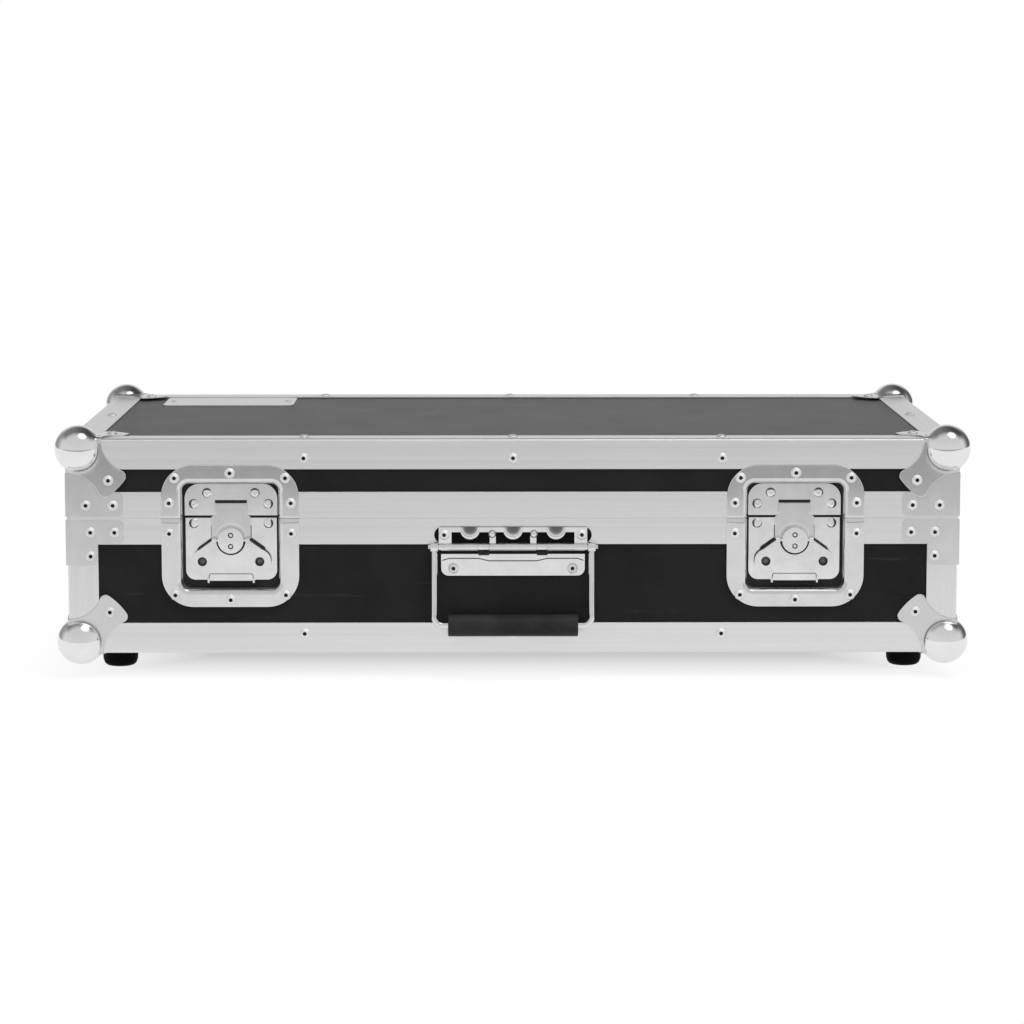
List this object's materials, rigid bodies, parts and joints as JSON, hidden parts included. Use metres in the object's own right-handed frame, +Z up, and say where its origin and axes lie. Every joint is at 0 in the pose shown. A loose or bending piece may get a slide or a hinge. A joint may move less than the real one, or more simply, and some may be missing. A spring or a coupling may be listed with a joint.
{
  "type": "guitar pedal flight case",
  "caption": "Flat flight case with black laminate panels, aluminium edging, ball corners, recessed twist latches, a hinged lid and a folding bail handle.",
  "frame": {"origin": "on the floor, under the middle of the whole outline", "axes": "+X to the right seen from the latches, +Y to the hinges at the back, +Z up"},
  "size_m": [0.7456, 0.4289, 0.2069],
  "materials": {
    "laminate": "fine textured black laminate on plywood",
    "edging": "satin extruded aluminium",
    "plated_steel": "bright zinc plated pressed steel",
    "polished_steel": "polished chrome plate",
    "rivet_metal": "bright aluminium rivet heads",
    "black_rubber": "matte black rubber",
    "foam": "dark foam lining",
    "pin_steel": "turned steel"
  },
  "bodies": {
    "base": {"base_bottom_panel": "laminate", "base_front_panel": "laminate", "base_back_panel": "laminate", "base_left_panel": "laminate", "base_right_panel": "laminate", "base_front_edge": "edging", "base_back_edge": "edging", "base_left_edge": "edging", "base_right_edge": "edging", "base_uprights": "edging", "base_rim_front": "edging", "base_rim_back": "edging", "base_rim_left": "edging", "base_rim_right": "edging", "base_ball_corners": "polished_steel", "base_corner_braces": "plated_steel", "base_foam": "foam", "base_rivets": "rivet_metal", "feet": "black_rubber", "base_hinge_leaves": "plated_steel", "hinge_pins": "pin_steel", "handle_backing": "black_rubber", "handle_leaf": "polished_steel", "handle_hinge_plate": "polished_steel", "handle_axle": "pin_steel", "left_latch_dish": "plated_steel", "left_latch_base_plate": "plated_steel", "right_latch_dish": "plated_steel", "right_latch_base_plate": "plated_steel"},
    "lid": {"lid_top_panel": "laminate", "lid_front_panel": "laminate", "lid_back_panel": "laminate", "lid_left_panel": "laminate", "lid_right_panel": "laminate", "lid_front_edge": "edging", "lid_back_edge": "edging", "lid_left_edge": "edging", "lid_right_edge": "edging", "lid_uprights": "edging", "lid_rim_front": "edging", "lid_rim_back": "edging", "lid_rim_left": "edging", "lid_rim_right": "edging", "lid_ball_corners": "polished_steel", "lid_corner_braces": "plated_steel", "lid_foam": "foam", "lid_rivets": "rivet_metal", "lid_hinge_leaves": "plated_steel", "left_keeper_dish": "plated_steel", "left_keeper": "plated_steel", "right_keeper_dish": "plated_steel", "right_keeper": "plated_steel"},
    "handle": {"handle_bail": "polished_steel", "handle_grip": "black_rubber"},
    "left_cam": {"left_latch_cam": "plated_steel"},
    "left_wing": {"left_latch_wing": "plated_steel"},
    "left_hook": {"left_latch_hook": "plated_steel"},
    "right_cam": {"right_latch_cam": "plated_steel"},
    "right_wing": {"right_latch_wing": "plated_steel"},
    "right_hook": {"right_latch_hook": "plated_steel"}
  },
  "joints": [
    {"name": "lid_hinge", "type": "hinge", "parent": "base", "child": "lid", "pos_m": [0, 0.20855, 0.1294], "axis": [-1, 0, 0], "range_deg": [0, 100]},
    {"name": "handle_swing", "type": "hinge", "parent": "base", "child": "handle", "pos_m": [0, -0.20045, 0.1083], "axis": [-1, 0, 0], "range_deg": [0, 90]},
    {"name": "left_cam_turn", "type": "hinge", "parent": "base", "child": "left_cam", "pos_m": [-0.23, -0.19335, 0.1125], "axis": [0, 1, 0], "range_deg": [0, 180]},
    {"name": "left_wing_fold", "type": "hinge", "parent": "left_cam", "child": "left_wing", "pos_m": [-0.23, -0.1896, 0.1125], "axis": [-1, 0, 0], "range_deg": [0, 90]},
    {"name": "left_hook_slide", "type": "slide", "parent": "base", "child": "left_hook", "axis": [0, 0, 1], "range_m": [0, 0.008]},
    {"name": "right_cam_turn", "type": "hinge", "parent": "base", "child": "right_cam", "pos_m": [0.23, -0.19335, 0.1125], "axis": [0, 1, 0], "range_deg": [0, 180]},
    {"name": "right_wing_fold", "type": "hinge", "parent": "right_cam", "child": "right_wing", "pos_m": [0.23, -0.1896, 0.1125], "axis": [-1, 0, 0], "range_deg": [0, 90]},
    {"name": "right_hook_slide", "type": "slide", "parent": "base", "child": "right_hook", "axis": [0, 0, 1], "range_m": [0, 0.008]}
  ],
  "couplings": [
    {"joint": "left_hook_slide", "follows": "left_cam_turn", "m_per_rad": 0.0025465},
    {"joint": "right_hook_slide", "follows": "right_cam_turn", "m_per_rad": 0.0025465}
  ]
}
